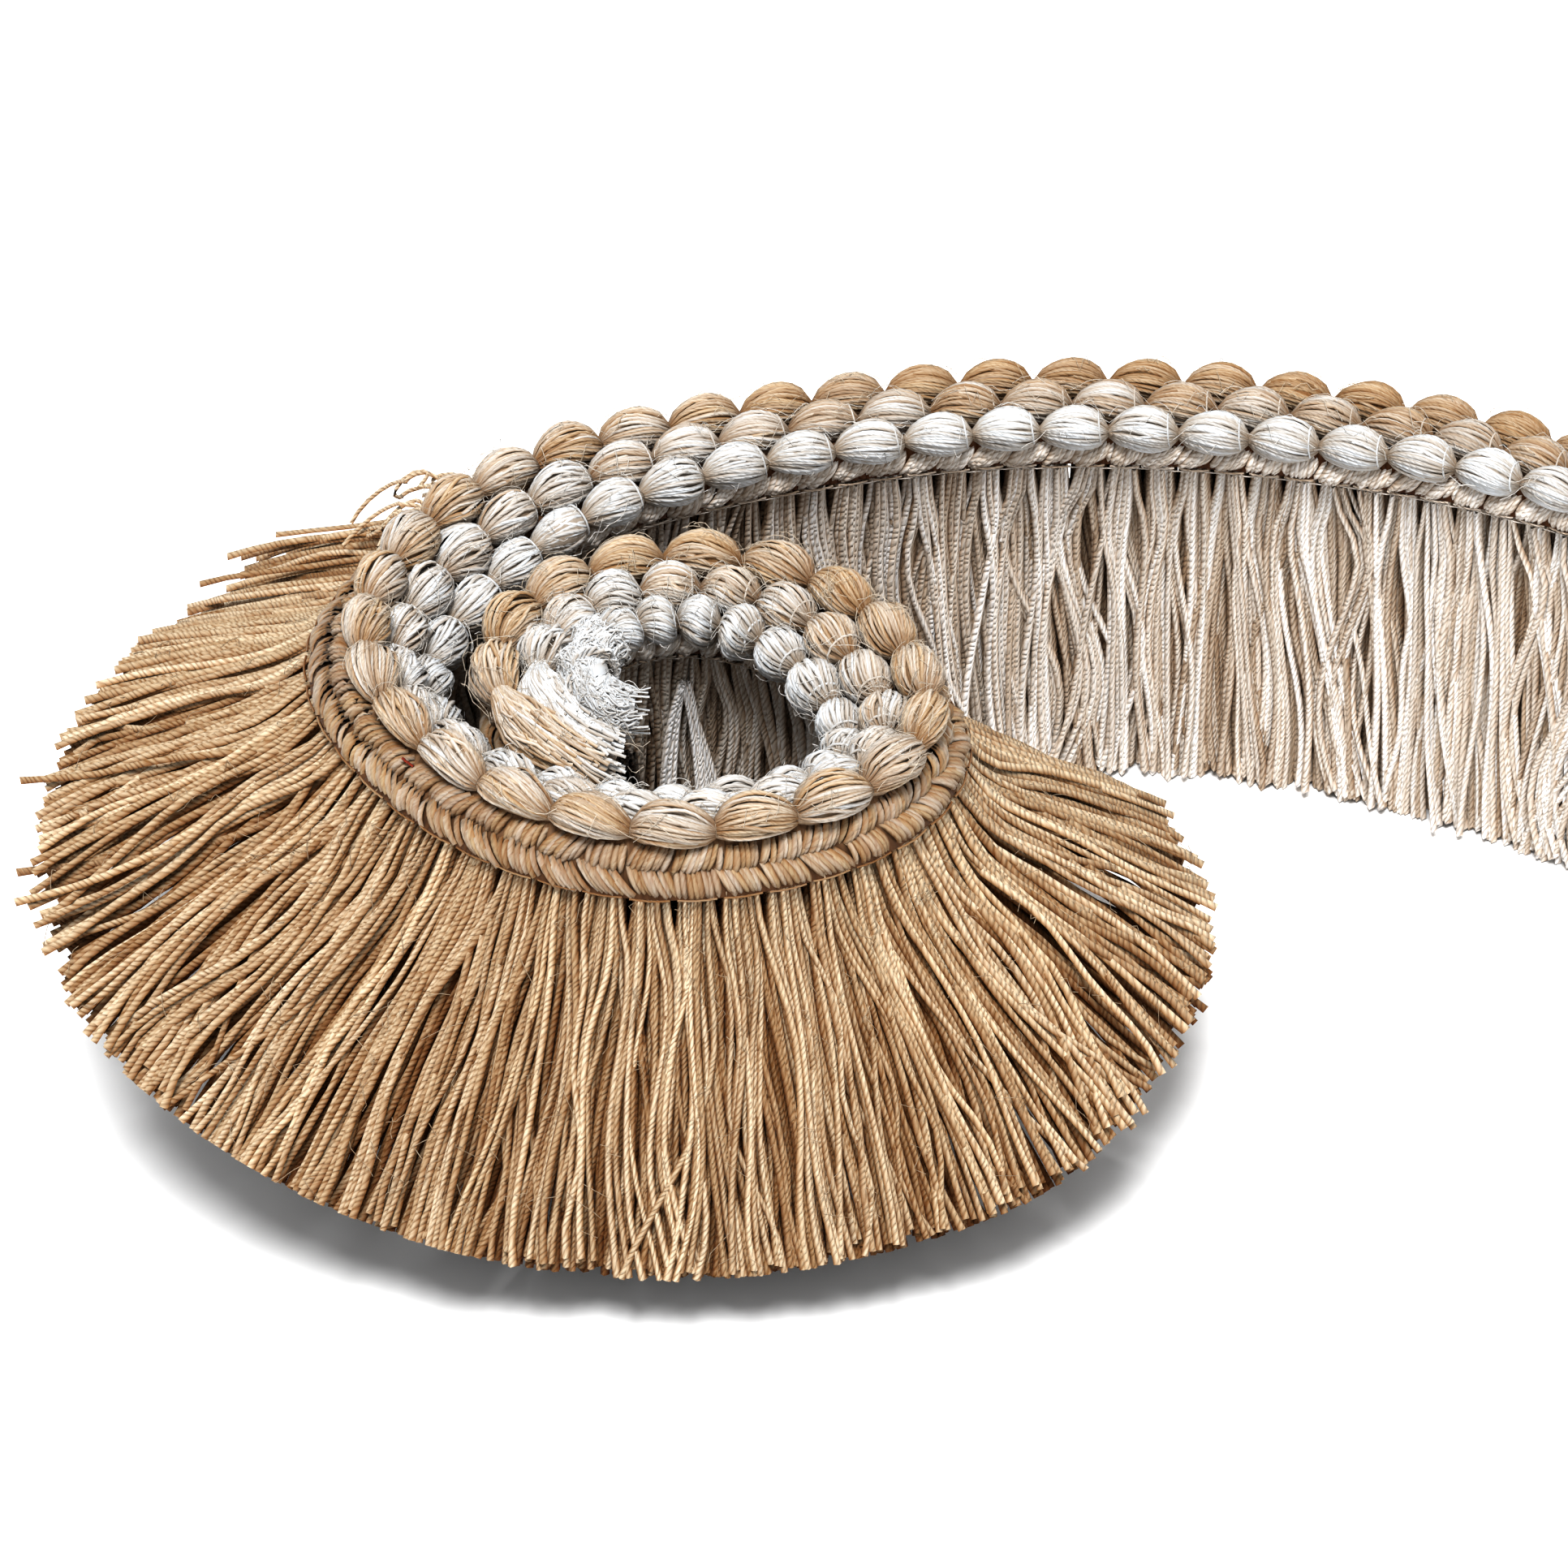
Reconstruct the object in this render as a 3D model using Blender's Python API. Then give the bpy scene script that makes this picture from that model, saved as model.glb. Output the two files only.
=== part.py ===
# A cut length of brush fringe trim with three rows of yarn puffs, standing on its fringe:
# one end is rolled into a coil, and the other sweeps away as a tail.
# Units are metres and +Z is up. The origin is on the floor, under the middle of the part.

import bpy
import bmesh
import numpy as np

MM = 0.001
UP = np.array([0.0, 0.0, 1.0])

# Puffs: one PITCH apart, measured along the outer row.
PITCH = 9.7 * MM
ROW_STEP = 5.6 * MM
PUFF_HALF_WIDTH = 3.35 * MM
PUFF_HALF_HEIGHT = 3.4 * MM
PUFF_SIDES = 6
PINCH = 0.42
PUFF_PROFILE = ((0.0, PINCH), (0.3, 1.0), (0.7, 1.0))

# Woven band under the puffs. Drops are measured down from the puffs' centres.
BAND_TOP = 3.8 * MM
BAND_HALF_TOP = 6.0 * MM
BAND_HALF_FOOT = 6.6 * MM
OUTER_DROP = 9.3 * MM
INNER_DROP = 6.3 * MM
BLOCK_RELIEF = 0.5 * MM

# Fringe: locks of yarn, two to a puff in each of two layers. Each layer has narrow strips of its own.
GAP = 0.3 * MM
STRIP_HEIGHT = 2.2 * MM
STRIP_HALF = 6.2 * MM
LAYER_CENTRE = 3.1 * MM
LAYER_HALF = 2.7 * MM
LOCK_MARGIN = 0.06
OUTER_LENGTH = 43.0 * MM
INNER_LENGTH = 45.9 * MM
OUTER_LEVELS = (0.2, 0.55, 1.0)
INNER_LEVELS = (0.45, 1.0)
THINNING = 0.45
DROOP_DEG = 12.0
STANDING_DEG = 14.0
TIP_UNEVEN = 0.9 * MM
YARN_STEPS = 24
ARC_CELLS = (7, 7, 7, 7, 5, 5, 5, 5, 5, 5, 5, 5, 5, 5, 4, 4)

# The heading's centre line, from the tail's end to the coil's inner end. Roll turns the heading
# outwards about that line; the splays are how far each layer of fringe leans out from upright.
ROUTE_COLUMNS = ("x_mm", "y_mm", "z_mm", "roll_deg", "outer_splay_deg", "inner_splay_deg")
ROUTE = (
    (117.5, 14.0, 54.5, -6, 4, -6),
    (103.0, 24.5, 54.5, -5, 4, -6),
    (85.0, 33.5, 54.5, -2, 4, -6),
    (65.0, 39.3, 54.5, 2, 4, -6),
    (46.0, 42.0, 54.5, 3, 4, -6),
    (28.0, 42.0, 54.5, 3, 4, -6),
    (9.0, 38.7, 54.5, 3, 6, -5),
    (-8.0, 33.5, 54.5, 4, 14, -3),
    (-24.0, 25.5, 54.5, 12, 44, 0),
    (-36.5, 14.5, 53.5, 28, 66, 3),
    (-43.8, 1.5, 52.5, 46, 72, 5),
    (-46.4, -9.5, 52.5, 55, 73, 6),
    (-45.0, -19.0, 52.5, 53, 71, 6),
    (-39.0, -29.0, 52.5, 44, 64, 6),
    (-28.2, -38.0, 52.5, 34, 53, 6),
    (-15.0, -42.2, 52.5, 27, 45, 6),
    (-3.0, -40.5, 52.5, 28, 49, 6),
    (7.0, -35.0, 52.5, 31, 58, 6),
    (11.8, -25.5, 52.5, 33, 63, 5),
    (9.8, -15.5, 52.5, 30, 60, 3),
    (4.0, -5.5, 53.0, 22, 38, 2),
    (-5.0, 1.0, 53.5, 14, 14, 0),
    (-15.0, 1.5, 54.0, 10, 8, 0),
    (-23.3, -3.0, 54.5, 6, 5, 0),
    (-28.2, -10.5, 54.5, 4, 3, 0),
    (-28.6, -17.5, 53.5, 4, 3, 0),
    (-24.3, -21.8, 52.0, 5, 3, 0),
    (-17.0, -22.6, 51.0, 6, 3, 0),
)
# The middle of the part's footprint, in the route's own x and y.
FOOTPRINT_X = 12.7 * MM
FOOTPRINT_Y = -13.3 * MM
ROUTE_SAMPLES = 1200
BEND_SMOOTHING = 61

COLLECTION_NAME = "pompom_fringe_trim"
YARNS = {
    "tan_yarn": ((0.50, 0.33, 0.16, 1.0), 0.85),
    "mixed_yarn": ((0.66, 0.54, 0.38, 1.0), 0.85),
    "white_yarn": ((0.84, 0.82, 0.79, 1.0), 0.8),
    "woven_band": ((0.46, 0.32, 0.19, 1.0), 0.9),
    "outer_fringe_yarn": ((0.50, 0.34, 0.18, 1.0), 0.85),
    "inner_fringe_yarn": ((0.60, 0.53, 0.46, 1.0), 0.85),
}


def clear_scene():
    for old in list(bpy.data.objects):
        bpy.data.objects.remove(old, do_unlink=True)


def yarn_material(name):
    colour, roughness = YARNS[name]
    material = bpy.data.materials.new(name)
    material.use_nodes = True
    shader = material.node_tree.nodes["Principled BSDF"]
    shader.inputs["Base Color"].default_value = colour
    shader.inputs["Roughness"].default_value = roughness
    shader.inputs["Metallic"].default_value = 0.0
    return material


def natural_spline(values, at, wanted):
    """The natural cubic spline through values, which stand at the places at, read at wanted."""
    count = len(at)
    step = np.diff(at)
    system = np.zeros((count, count))
    right = np.zeros((count, values.shape[1]))
    system[0, 0] = system[-1, -1] = 1.0
    for i in range(1, count - 1):
        system[i, i - 1 : i + 2] = step[i - 1], 2 * (step[i - 1] + step[i]), step[i]
        rise = (values[i + 1] - values[i]) / step[i] - (values[i] - values[i - 1]) / step[i - 1]
        right[i] = 6 * rise
    bend = np.linalg.solve(system, right)
    k = np.clip(np.searchsorted(at, wanted, side="right") - 1, 0, count - 2)
    f = ((wanted - at[k]) / step[k])[:, None]
    line = values[k] * (1 - f) + values[k + 1] * f
    curve = ((1 - f) ** 3 - (1 - f)) * bend[k] + (f**3 - f) * bend[k + 1]
    return line + step[k][:, None] ** 2 / 6 * curve


def smoothed(column):
    """A column of angles with its corners rounded off."""
    kernel = np.hanning(BEND_SMOOTHING)
    padded = np.pad(column, BEND_SMOOTHING // 2, mode="edge")
    return np.convolve(padded, kernel / kernel.sum(), mode="valid")


def unit(vectors):
    return vectors / np.linalg.norm(vectors, axis=-1, keepdims=True)


class Heading:
    """The heading's centre line, read at any number of puffs from the tail's end."""

    def __init__(self):
        rows = np.array(ROUTE, float)
        steps = np.linalg.norm(np.diff(rows[:, :2], axis=0), axis=1)
        at = np.concatenate([[0.0], np.cumsum(steps)])
        fine = np.linspace(0.0, at[-1], ROUTE_SAMPLES)
        middle = np.array([FOOTPRINT_X, FOOTPRINT_Y, 0.0])
        self.points = natural_spline(rows[:, :3], at, fine) * MM - middle
        along = unit(np.gradient(self.points[:, :2], axis=0))
        self.outward = np.stack([along[:, 1], -along[:, 0], np.zeros(len(fine))], axis=1)
        columns = [smoothed(np.interp(fine, at, rows[:, c])) for c in range(3, len(ROUTE_COLUMNS))]
        self.angles = np.radians(np.stack(columns, axis=1))
        roll = self.angles[:, :1]
        outer_row = self.points + ROW_STEP * (self.outward * np.cos(roll) + UP * np.sin(roll))
        steps = np.linalg.norm(np.diff(outer_row, axis=0), axis=1)
        self.run = np.concatenate([[0.0], np.cumsum(steps)])
        self.puffs = int(round(self.run[-1] / PITCH))

    def read(self, puff):
        """Centre, outward direction, and the roll and two splays in radians, at a puff number."""
        place = puff / self.puffs * self.run[-1]
        columns = np.concatenate([self.points, self.outward, self.angles], axis=1)
        found = np.array([np.interp(place, self.run, column) for column in columns.T])
        return found[:3], unit(found[3:6]), found[6:]

    def section(self, puff, offsets):
        """World points of a flat cross-section, given as (across, drop) pairs."""
        centre, outward, (roll, _, _) = self.read(puff)
        across = outward * np.cos(roll) + UP * np.sin(roll)
        down = outward * np.sin(roll) - UP * np.cos(roll)
        return [centre + a * across + d * down for a, d in offsets]


def fringe_drop(across):
    """How far the band's foot lies below the puffs' centres: lower on the outer face."""
    share = (across / BAND_HALF_FOOT + 1) / 2
    return INNER_DROP + (OUTER_DROP - INNER_DROP) * share


def add_loft(mesh, rings):
    """Joins rings of points into one closed tube with flat ends."""
    made = [[mesh.verts.new(point) for point in ring] for ring in rings]
    sides = len(made[0])
    for before, after in zip(made, made[1:]):
        for i in range(sides):
            j = (i + 1) % sides
            mesh.faces.new((before[i], before[j], after[j], after[i]))
    mesh.faces.new(made[0][::-1])
    mesh.faces.new(made[-1])


def new_object(name, mesh, material, collection):
    bmesh.ops.recalc_face_normals(mesh, faces=mesh.faces)
    data = bpy.data.meshes.new(name)
    mesh.to_mesh(data)
    mesh.free()
    data.materials.append(material)
    collection.objects.link(bpy.data.objects.new(name, data))


def puff_row(heading, row, start):
    """A row of puffs as one tube, narrowed at each pinch. start is its first pinch."""
    places = []
    for puff in range(heading.puffs):
        for part, size in PUFF_PROFILE:
            places.append((puff + part + start, size))
    places.append((heading.puffs + start, PINCH))
    places = [(puff, size) for puff, size in places if 0.0 <= puff <= heading.puffs]
    turns = np.arange(PUFF_SIDES) * 2 * np.pi / PUFF_SIDES + np.pi / 2
    rings = []
    for puff, size in places:
        across = row * ROW_STEP + PUFF_HALF_WIDTH * size * np.cos(turns)
        drop = PUFF_HALF_HEIGHT * size * np.sin(turns)
        rings.append(heading.section(puff, zip(across, drop)))
    mesh = bmesh.new()
    add_loft(mesh, rings)
    return mesh


def woven_band(heading):
    """The band, with two raised blocks to a puff: two rows of them outside and one inside."""
    rings = []
    for quarter in range(4 * heading.puffs + 1):
        dip = BLOCK_RELIEF if quarter % 2 == 0 else 0.0
        middle = (BAND_TOP + OUTER_DROP) / 2
        offsets = (
            (BAND_HALF_TOP - dip, BAND_TOP),
            ((BAND_HALF_TOP + BAND_HALF_FOOT) / 2 - BLOCK_RELIEF, middle),
            (BAND_HALF_FOOT - dip, OUTER_DROP),
            (-BAND_HALF_FOOT + dip, INNER_DROP),
            (-BAND_HALF_TOP + dip, BAND_TOP),
        )
        rings.append(heading.section(quarter / 4, offsets))
    mesh = bmesh.new()
    add_loft(mesh, rings)
    return mesh


def lock_spine(heading, puff, side):
    """Points down the middle of a layer of fringe, and the direction it runs at each."""
    _, outward, (roll, outer_splay, inner_splay) = heading.read(puff)
    across = side * LAYER_CENTRE
    drop = fringe_drop(across) + GAP + STRIP_HEIGHT
    point = heading.section(puff, [(across, drop)])[0]
    splay = outer_splay if side > 0 else inner_splay
    length = OUTER_LENGTH if side > 0 else INNER_LENGTH
    droop = np.radians(DROOP_DEG) * np.clip((np.degrees(splay) - 10) / 40, 0, 1)
    points = [point]
    leans = [roll]
    for i in range(YARN_STEPS):
        part = (i + 0.5) / YARN_STEPS
        turn = min(1.0, part / 0.3)
        turn = turn * turn * (3 - 2 * turn)
        lean = roll + (splay - roll) * turn - droop * part * part
        point = point + length / YARN_STEPS * (outward * np.sin(lean) - UP * np.cos(lean))
        points.append(point)
        leans.append(lean)
    return np.array(points), np.array(leans), outward


def lock_corner(spine, offset, level, stretch, standing):
    """A corner of a lock: offset across the spine, at a level from 0 at its root to 1 at its tip."""
    points, leans, outward = spine
    place = min(level * stretch, 1.0) * YARN_STEPS
    low = min(int(place), YARN_STEPS - 1)
    point = points[low] + (points[low + 1] - points[low]) * (place - low)
    lean = leans[low + 1]
    thickness = 1 - THINNING * level * np.clip(np.sin(abs(lean)) * 1.6, 0, 1)
    point = point + offset * thickness * (outward * np.cos(lean) + UP * np.sin(lean))
    if standing:
        root, tip = points[0][2], points[-1][2]
        height = point[2] if level < 1.0 else tip
        point[2] = (height - tip) * root / (root - tip)
    return point


def add_lock(mesh, heading, under, start, end, side, number):
    """Replaces a cell of the strip's underside with a rim and a lock growing from its middle.
    under holds the cell's four corners: start inner, start outer, end outer, end inner."""
    near, far = LOCK_MARGIN, 1 - LOCK_MARGIN
    a, b, c, d = [np.array(corner.co) for corner in under]
    shares = ((near, near), (near, far), (far, far), (far, near))
    root = []
    for along, over in shares:
        point = (a * (1 - over) + b * over) * (1 - along) + (d * (1 - over) + c * over) * along
        root.append(mesh.verts.new(point))
    spines = {along: lock_spine(heading, start + (end - start) * along, side) for along in (near, far)}
    standing = side < 0 or np.degrees(heading.read((start + end) / 2)[2][1]) < STANDING_DEG
    levels = OUTER_LEVELS if side > 0 else INNER_LEVELS
    unevenness = 0.0 if standing else (number * 0.618034) % 1.0 * TIP_UNEVEN / OUTER_LENGTH
    rings = [root]
    for level in levels:
        ring = []
        for along, over in shares:
            offset = (2 * over - 1) * LAYER_HALF
            point = lock_corner(spines[along], offset, level, 1 - unevenness, standing)
            ring.append(mesh.verts.new(point))
        rings.append(ring)
    for i in range(4):
        j = (i + 1) % 4
        mesh.faces.new((under[i], under[j], root[j], root[i]))
        for before, after in zip(rings, rings[1:]):
            mesh.faces.new((before[i], before[j], after[j], after[i]))
    mesh.faces.new(rings[-1])


def fringe_arc(heading, first_cell, cells, side):
    """A stretch of one layer of fringe: a strip under the band, and the locks fused into it."""
    mesh = bmesh.new()
    low, high = sorted((side * GAP / 2, side * STRIP_HALF))
    top, foot = GAP, GAP + STRIP_HEIGHT
    corners = ((low, foot), (high, foot), (high, top), (low, top))
    offsets = [(across, fringe_drop(across) + extra) for across, extra in corners]
    trim = GAP / 2 / PITCH
    places = [(first_cell + i) / 2 for i in range(cells + 1)]
    places[0] += trim
    places[-1] -= trim
    rings = []
    for puff in places:
        rings.append([mesh.verts.new(point) for point in heading.section(puff, offsets)])
    for i, (before, after) in enumerate(zip(rings, rings[1:])):
        under = (before[0], before[1], after[1], after[0])
        add_lock(mesh, heading, under, places[i], places[i + 1], side, first_cell + i)
        for j in (1, 2, 3):
            k = (j + 1) % 4
            mesh.faces.new((before[j], before[k], after[k], after[j]))
    mesh.faces.new(rings[0])
    mesh.faces.new(rings[-1][::-1])
    return mesh


def main():
    clear_scene()
    collection = bpy.data.collections.new(COLLECTION_NAME)
    bpy.context.scene.collection.children.link(collection)
    materials = {name: yarn_material(name) for name in YARNS}
    heading = Heading()
    rows = (
        ("puff_row_tan", 1, 0.0, "tan_yarn"),
        ("puff_row_mixed", 0, -0.5, "mixed_yarn"),
        ("puff_row_white", -1, 0.0, "white_yarn"),
    )
    for name, row, start, yarn in rows:
        new_object(name, puff_row(heading, row, start), materials[yarn], collection)
    new_object("heading_band", woven_band(heading), materials["woven_band"], collection)
    for layer, side in (("outer_fringe", 1), ("inner_fringe", -1)):
        first_cell = 0
        for number, cells in enumerate(ARC_CELLS, 1):
            mesh = fringe_arc(heading, first_cell, cells, side)
            new_object(f"{layer}_{number:02d}", mesh, materials[f"{layer}_yarn"], collection)
            first_cell += cells


main()
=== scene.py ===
"""The looks of a rolled length of fringe trim: three rows of yarn puffs over a woven band, and two layers
of cut yarn that it stands on. Every strand is a tube that follows the heading's own route, repeated here
from the part. Units are metres and +Z is up; one millimetre is MM."""

import math

import bpy
import numpy as np
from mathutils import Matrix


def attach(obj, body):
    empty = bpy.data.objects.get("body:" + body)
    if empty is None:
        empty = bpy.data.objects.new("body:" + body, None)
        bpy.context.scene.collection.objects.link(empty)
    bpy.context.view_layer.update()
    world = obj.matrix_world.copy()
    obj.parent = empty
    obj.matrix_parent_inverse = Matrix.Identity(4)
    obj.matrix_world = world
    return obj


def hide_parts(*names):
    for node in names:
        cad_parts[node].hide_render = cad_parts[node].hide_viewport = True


MM = 0.001
UP = np.array([0.0, 0.0, 1.0])
TURN = 2 * math.pi

# The part's own sizes
PITCH = 9.7 * MM
ROW_STEP = 5.6 * MM
BAND_TOP = 3.8 * MM
BAND_HALF_TOP = 6.0 * MM
BAND_HALF_FOOT = 6.6 * MM
OUTER_DROP = 9.3 * MM
INNER_DROP = 6.3 * MM
GAP = 0.3 * MM
STRIP_HEIGHT = 2.2 * MM
LAYER_CENTRE = 3.1 * MM
OUTER_LENGTH = 43.0 * MM
INNER_LENGTH = 45.9 * MM
THINNING = 0.45
DROOP_DEG = 12.0
STANDING_DEG = 14.0
YARN_STEPS = 24
ARC_CELLS = (7,) * 4 + (5,) * 10 + (4,) * 2

# The heading's centre line from the tail's end to the coil's inner end, as in the part: x, y and z in
# millimetres, then its roll and the splays of the outer and the inner layer in degrees
ROUTE = (
    (117.5, 14, 54.5, -6, 4, -6),
    (103, 24.5, 54.5, -5, 4, -6),
    (85, 33.5, 54.5, -2, 4, -6),
    (65, 39.3, 54.5, 2, 4, -6),
    (46, 42, 54.5, 3, 4, -6),
    (28, 42, 54.5, 3, 4, -6),
    (9, 38.7, 54.5, 3, 6, -5),
    (-8, 33.5, 54.5, 4, 14, -3),
    (-24, 25.5, 54.5, 12, 44, 0),
    (-36.5, 14.5, 53.5, 28, 66, 3),
    (-43.8, 1.5, 52.5, 46, 72, 5),
    (-46.4, -9.5, 52.5, 55, 73, 6),
    (-45, -19, 52.5, 53, 71, 6),
    (-39, -29, 52.5, 44, 64, 6),
    (-28.2, -38, 52.5, 34, 53, 6),
    (-15, -42.2, 52.5, 27, 45, 6),
    (-3, -40.5, 52.5, 28, 49, 6),
    (7, -35, 52.5, 31, 58, 6),
    (11.8, -25.5, 52.5, 33, 63, 5),
    (9.8, -15.5, 52.5, 30, 60, 3),
    (4, -5.5, 53, 22, 38, 2),
    (-5, 1, 53.5, 14, 14, 0),
    (-15, 1.5, 54, 10, 8, 0),
    (-23.3, -3, 54.5, 6, 5, 0),
    (-28.2, -10.5, 54.5, 4, 3, 0),
    (-28.6, -17.5, 53.5, 4, 3, 0),
    (-24.3, -21.8, 52, 5, 3, 0),
    (-17, -22.6, 51, 6, 3, 0),
)
FOOTPRINT_X = 12.7 * MM
FOOTPRINT_Y = -13.3 * MM
ROUTE_SAMPLES = 1200
BEND_SMOOTHING = 61
FIELD_PER_PUFF = 8

# Yarn sizes, read from the photograph
FRINGE_RADIUS = 0.44 * MM
LAYER_DEPTH = 2.3 * MM
PUFF_STRANDS = 46
STRAND_RADIUS = 0.3 * MM
STRAND_POINTS = 9
LOOSE_PUFF_HALF_WIDTH = 3.2 * MM
LOOSE_PUFF_HALF_HEIGHT = 3.0 * MM
PUFF_BOW = 0.9 * MM
# To look round, a three-sided tube is this much wider, and its side normals lean this far towards its
# outward corner
THREE_SIDED = 1.12
OUTWARD_LEAN = 0.78

# These tables are read at puff numbers. Before its first place and past its last a table stays level.
# How far the fringe's tips lift off their layer, in millimetres, and how long its yarns are against the
# layer's length
OUTER_LIFT = (
    (15, 0), (15.5, 9), (16.5, 17), (17, 19), (17.5, 17), (18, 10), (18.5, 3), (19, 0), (24, 0),
    (26, -4), (27, -6), (29, -6), (31, -3), (32, 0), (33, 4), (34, 7), (35.5, 3), (37, 0),
)
OUTER_REACH = (
    (18.5, 1), (19.5, 0.88), (20, 0.81), (21, 0.78), (22, 0.86), (23, 0.97), (24, 1.02), (26, 1.01),
    (28, 1), (30, 1), (31, 0.94), (33, 0.93), (34, 0.98),
)
INNER_LIFT = ((11, 2), (14, 0))
INNER_REACH = ((0, 1),)
# Up to this puff number the fringe lifts from its root on, and past it only towards its tips
EARLY_LIFT = 25
# Loose fibres to a puff
FUZZ_PER_PUFF = ((0, 5), (12, 6), (16, 10), (30, 13), (37, 15))
# Painted shade: the tail's puffs are a little darker than the coil's
PAINTED_TAIL_SHADE = ((0, 0.88), (12, 0.9), (15, 1.0))
# How untidy the puffs' strands are, how far they are pinched, how large the puffs are, and how far the
# tan row sinks, in millimetres
PUFF_MESS = ((13, 1), (18, 2.2), (23, 2.4), (30, 2), (33, 1.3), (37, 1.2), (38.5, 2), (40, 4), (43, 5))
PUFF_PINCH = ((13, 0.24), (18, 0.36), (30, 0.4), (34, 0.28), (43, 0.34))
PUFF_SIZE = ((0, 0.96), (14, 0.98), (20, 1.02), (32, 1.04), (43, 1.04))
TAN_SINK = ((13, 0.9), (18, 0.2), (43, 0.0))
# How far the tips of each layer lean towards the coil's inner end, in millimetres
OUTER_LEAN = ((0, -1), (14, 0), (15, 2), (16, 8), (17, 5), (18, 2), (20, 0), (31, 0), (33, 2), (35, 0))
INNER_LEAN = ((0, -3.6), (9, -3.2), (14, -1), (18, 0))
# How much of the white yarn the tan and the middle row have. The middle row is mostly tan on the tail and
# nearly white round the front of the coil
TAN_ROW_SHARE = (
    (0, 0.06), (12, 0.08), (16, 0.3), (24, 0.35), (31, 0.3), (35, 0.15), (38, 0.15), (42, 0.3),
)
MIXED_ROW_SHARE = (
    (0, 0.48), (11, 0.5), (15, 0.7), (22, 0.85), (29, 0.85), (32, 0.6), (36, 0.5), (38, 0.8), (43, 0.9),
)
WHITE_ROW_SHARE = ((0, 1),)

# Camera and light
CAMERA_LOOK = np.array([-12.7, 13.3, 25.0]) * MM
CAMERA_DISTANCE = 750 * MM
CAMERA_ELEVATION = math.radians(37)
FOCAL_PIXELS = 7425.0
PHOTO_PIXELS = 1932.0
SENSOR_MM = 36.0
WORLD_STRENGTH = 0.72
WINDOW_STRENGTH = 4.3
WINDOW_SPREAD = math.radians(24)
WINDOW_TILT = (math.radians(20), math.radians(-4), 0.0)
EXPOSURE = 0.12
GAMMA = 0.82
FLOOR_HALF_SIZE = 6.0

# Colours, linear, judged: each yarn has one in its grooves and one on its crests
# The groove colour is painted shade between the plies; it also shows where a strand's random tone is dark
TAN = ((0.28, 0.15, 0.058), (0.66, 0.59, 0.46))
DEEP_TAN = ((0.28, 0.15, 0.058), (0.55, 0.465, 0.33))
PUFF_TAN = ((0.33, 0.205, 0.10), (0.55, 0.475, 0.355))
BAND_TAN = ((0.24, 0.115, 0.04), (0.39, 0.315, 0.205))
WHITE = ((0.49, 0.475, 0.46), (0.63, 0.68, 0.73))
FRINGE_WHITE = ((0.66, 0.59, 0.51), (0.89, 0.90, 0.92))
GREIGE = ((0.34, 0.25, 0.17), (0.81, 0.76, 0.69))
FUZZ = ((0.70, 0.58, 0.43), (0.90, 0.88, 0.85))
# Painted shade: the band's body is coloured dark where it shows between the blocks
BODY_SHADE = ((0.12, 0.06, 0.028), (0.20, 0.115, 0.06))
RED = ((0.12, 0.015, 0.006), (0.30, 0.035, 0.012))
# Painted shade: colours that a strand's flanks are multiplied by, where it meets the strands beside it
TAN_FLANK_SHADE = (0.50, 0.31, 0.16)
GREIGE_FLANK_SHADE = (0.60, 0.45, 0.32)
PUFF_FLANK_SHADE = (0.66, 0.47, 0.29)
WHITE_FLANK_SHADE = (0.70, 0.63, 0.56)
FUZZ_FLANK_SHADE = (0.95, 0.93, 0.90)
FLOOR = (0.88, 0.88, 0.88)
# How much a yarn's plies sway, in turns, and how much its grain and its paler patches show
PLY_SWAY = 1.6
GRAIN_TONE = 1.1
PATCH_TONE = 0.5

# Margins of a tube's sides in its own cell of the baking map, and the heights of its two ends there
CELL_MARGIN = np.array([0.04, 0.06])
CELL_ENDS = (0.03, 0.97)
CELL_END_RADIUS = 0.02

rng = np.random.default_rng(20)


def spread(low, high, count):
    """Even random numbers, one to a strand, as a column."""
    return rng.uniform(low, high, count)[:, None]


def scatter(size, count):
    """Normal random numbers round 0, one to a strand, as a column."""
    return rng.normal(0, size, count)[:, None]


def swing(part, turns=1.0):
    """A wave of so many turns along a strand."""
    return np.sin(TURN * part * turns)


def shares(count):
    """Shares of a strand's length, from end to end, as a row."""
    return np.linspace(0.0, 1.0, count)[None]


def natural_spline(values, at, wanted):
    """The natural cubic spline through values, which stand at the places at, read at wanted."""
    count = len(at)
    step = np.diff(at)
    system = np.zeros((count, count))
    right = np.zeros((count, values.shape[1]))
    system[0, 0] = system[-1, -1] = 1.0
    for i in range(1, count - 1):
        system[i, i - 1 : i + 2] = step[i - 1], 2 * (step[i - 1] + step[i]), step[i]
        rise = (values[i + 1] - values[i]) / step[i] - (values[i] - values[i - 1]) / step[i - 1]
        right[i] = 6 * rise
    bend = np.linalg.solve(system, right)
    k = np.clip(np.searchsorted(at, wanted, side="right") - 1, 0, count - 2)
    f = ((wanted - at[k]) / step[k])[:, None]
    line = values[k] * (1 - f) + values[k + 1] * f
    curve = ((1 - f) ** 3 - (1 - f)) * bend[k] + (f**3 - f) * bend[k + 1]
    return line + step[k][:, None] ** 2 / 6 * curve


def smoothed(column):
    kernel = np.hanning(BEND_SMOOTHING)
    padded = np.pad(column, BEND_SMOOTHING // 2, mode="edge")
    return np.convolve(padded, kernel / kernel.sum(), mode="valid")


def distance(points):
    """How far along a line its points are, for any number of lines."""
    steps = np.linalg.norm(np.diff(points, axis=-2), axis=-1)
    return np.concatenate([np.zeros_like(steps[..., :1]), np.cumsum(steps, axis=-1)], axis=-1)


def unit(vectors):
    return vectors / np.linalg.norm(vectors, axis=-1, keepdims=True)


def smooth_step(x):
    x = np.clip(x, 0.0, 1.0)
    return x * x * (3 - 2 * x)


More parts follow.
